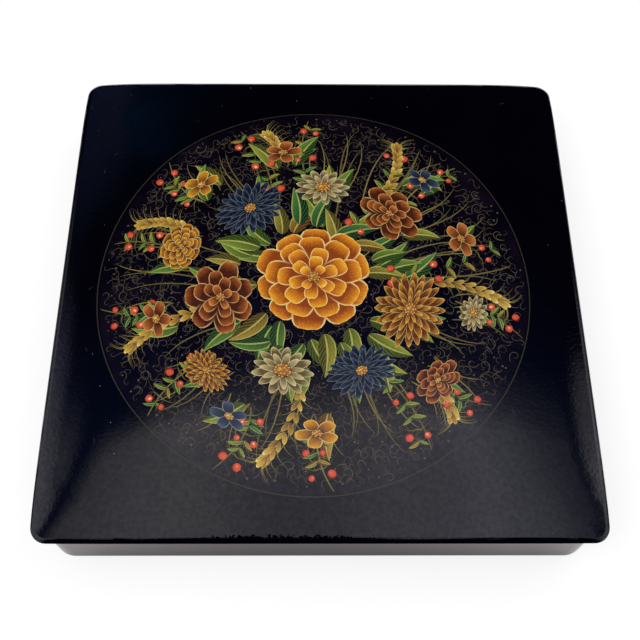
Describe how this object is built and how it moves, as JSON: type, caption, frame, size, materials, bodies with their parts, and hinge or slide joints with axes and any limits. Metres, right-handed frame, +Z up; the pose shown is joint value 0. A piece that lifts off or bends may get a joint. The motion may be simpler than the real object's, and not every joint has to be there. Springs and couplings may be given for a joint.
{
  "type": "lacquer box",
  "caption": "Low square hinged box of lacquered pressed paper with a crowned overhanging lid, for keeping small things.",
  "frame": {"origin": "middle of the flat bottom that the box rests on", "axes": "+Z up, -Y towards the front, where the lid lifts, +Y towards the hinge, +X to the right seen from the front"},
  "size_m": [0.16, 0.16, 0.029],
  "materials": {
    "black_lacquer": "polished black lacquer over pressed paper",
    "red_lacquer": "red lacquer over wound paper",
    "hinge_tin": "rolled tin plate",
    "hinge_wire": "drawn wire",
    "miniature_paint": "fine brush painting under clear lacquer",
    "gold_paint": "powdered gold paint under clear lacquer"
  },
  "bodies": {
    "box": {"base_panel": "black_lacquer", "body_wall": "black_lacquer", "inner_sleeve": "red_lacquer", "hinge_pin": "hinge_wire", "body_knuckle_left": "hinge_tin", "body_knuckle_middle": "hinge_tin", "body_knuckle_right": "hinge_tin"},
    "lid": {"lid_panel": "black_lacquer", "lid_rim": "black_lacquer", "lid_knuckle_left": "hinge_tin", "lid_knuckle_right": "hinge_tin"}
  },
  "joints": [
    {"name": "lid_hinge", "type": "hinge", "parent": "box", "child": "lid", "pos_m": [0, 0.0771, 0.0169], "axis": [-1, 0, 0], "range_deg": [0, 100]}
  ]
}
